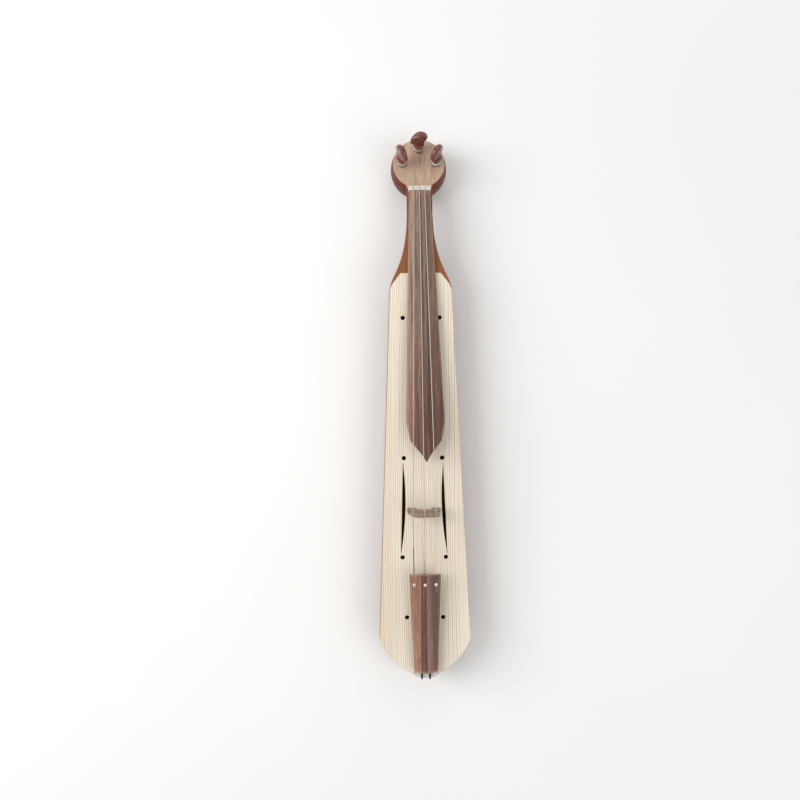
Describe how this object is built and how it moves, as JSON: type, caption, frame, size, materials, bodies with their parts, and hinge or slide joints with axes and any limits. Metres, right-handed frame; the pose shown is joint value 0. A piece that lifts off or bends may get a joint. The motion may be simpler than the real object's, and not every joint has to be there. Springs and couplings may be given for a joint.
{
  "type": "folk fiddle",
  "caption": "Bowed trough fiddle carved from one block, with softwood soundboard, walnut fingerboard and tailpiece, standing bridge and friction pegs on a round head.",
  "frame": {"origin": "on the flat of the back, straight under the bridge", "axes": "+X across towards the high string, +Y along the strings towards the head, +Z out of the soundboard"},
  "size_m": [0.0974, 0.5814, 0.0748],
  "materials": {
    "carved_wood": "satin red-brown varnish",
    "softwood": "bare, fine grain",
    "pale_wood": "oiled",
    "walnut": "oiled",
    "bridge_wood": "bare",
    "peg_wood": "polished",
    "bone": "satin",
    "wound_string": "pale silver winding",
    "gut_string": "satin",
    "white_string": "satin",
    "tail_cord": "satin",
    "bead": "glossy"
  },
  "bodies": {
    "fiddle": {"body": "carved_wood", "soundboard": "softwood", "head_plate": "pale_wood", "fingerboard": "walnut", "nut": "bone", "bridge": "bridge_wood", "tailpiece": "walnut", "saddle": "bone", "end_pin": "peg_wood", "tail_gut": "tail_cord", "string_beads": "bead", "string_low": "wound_string", "string_middle": "gut_string", "string_high": "white_string", "sound_post": "softwood", "bass_bar": "softwood"},
    "low_peg": {"peg_low": "peg_wood"},
    "middle_peg": {"peg_middle": "peg_wood"},
    "high_peg": {"peg_high": "peg_wood"}
  },
  "joints": [
    {"name": "low_peg_turn", "type": "hinge", "parent": "fiddle", "child": "low_peg", "pos_m": [-0.018, 0.36707, 0.03486], "axis": [0, 0.1736, 0.9848], "continuous": true},
    {"name": "middle_peg_turn", "type": "hinge", "parent": "fiddle", "child": "middle_peg", "pos_m": [0, 0.38283, 0.03208], "axis": [0, 0.1736, 0.9848], "continuous": true},
    {"name": "high_peg_turn", "type": "hinge", "parent": "fiddle", "child": "high_peg", "pos_m": [0.018, 0.36707, 0.03486], "axis": [0, 0.1736, 0.9848], "continuous": true}
  ]
}
